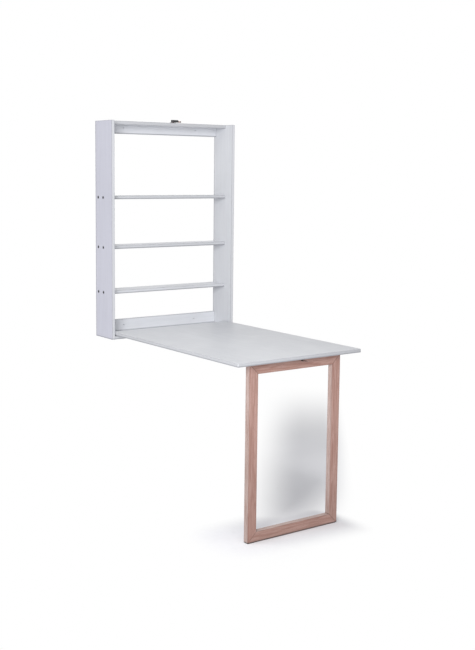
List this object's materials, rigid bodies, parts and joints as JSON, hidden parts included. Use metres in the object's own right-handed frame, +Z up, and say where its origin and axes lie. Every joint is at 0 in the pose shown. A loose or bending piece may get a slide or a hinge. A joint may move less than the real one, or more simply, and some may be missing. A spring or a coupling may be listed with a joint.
{
  "type": "secretary desk",
  "caption": "Wall-hung fold-down desk: white shelf cabinet, drop-down top on butt hinges, mitred wooden frame leg that folds under the top, and a swing-hook catch.",
  "frame": {"origin": "centre of the four wall-screw holes, on the wall plane behind the two back rails; the floor lies 1217.7 mm below it", "axes": "+X to the right seen from the room, +Y into the wall, +Z up; the open desk top reaches towards -Y"},
  "size_m": [0.68, 1.1001, 1.7193],
  "materials": {
    "white_board": "white satin lacquer on board",
    "beech": "clear matt varnish",
    "dowel_wood": "plain",
    "dark_screw": "dark zinc",
    "zinc_alloy": "cast zinc",
    "hinge_steel": "zinc plated",
    "black_metal": "black lacquer",
    "worn_steel": "dark, worn bright on top",
    "bronze": "antique bronze",
    "black_plastic": "matt"
  },
  "bodies": {
    "cabinet": {"left_side_panel": "white_board", "right_side_panel": "white_board", "top_board": "white_board", "bottom_board": "white_board", "top_back_rail": "white_board", "bottom_back_rail": "white_board", "lower_shelf": "white_board", "middle_shelf": "white_board", "upper_shelf": "white_board", "left_shelf_screws": "dark_screw", "right_shelf_screws": "dark_screw", "left_carcass_dowels": "dowel_wood", "right_carcass_dowels": "dowel_wood", "cam_locks": "zinc_alloy", "cam_bolts": "zinc_alloy", "desk_hinge_lower_leaves": "hinge_steel", "desk_hinge_pins": "hinge_steel", "desk_hinge_lower_screws": "hinge_steel", "catch_plate": "black_metal", "catch_plate_screws": "black_metal", "catch_pivot": "worn_steel"},
    "desktop": {"desk_top": "white_board", "desk_hinge_upper_leaves": "hinge_steel", "desk_hinge_upper_screws": "hinge_steel", "leg_hinge_top_leaves": "hinge_steel", "leg_hinge_pins": "hinge_steel", "leg_hinge_top_screws": "hinge_steel", "catch_keeper": "black_metal", "catch_keeper_screws": "black_metal"},
    "leg": {"leg_left_stile": "beech", "leg_right_stile": "beech", "leg_head_rail": "beech", "leg_foot_rail": "beech", "leg_mitre_dowels": "dowel_wood", "leg_hinge_leg_leaves": "hinge_steel", "leg_hinge_leg_screws": "hinge_steel"},
    "catch": {"catch_lever": "bronze", "catch_grip": "black_plastic"}
  },
  "joints": [
    {"name": "desk_fold", "type": "hinge", "parent": "cabinet", "child": "desktop", "pos_m": [0, -0.1184, -0.4847], "axis": [-1, 0, 0], "range_deg": [0, 90]},
    {"name": "leg_fold", "type": "hinge", "parent": "desktop", "child": "leg", "pos_m": [0, -1.0253, -0.4875], "axis": [1, 0, 0], "range_deg": [0, 90]},
    {"name": "catch_swing", "type": "hinge", "parent": "cabinet", "child": "catch", "pos_m": [0.024, -0.0884, 0.4898], "axis": [0, 0, -1], "range_deg": [0, 90]}
  ]
}
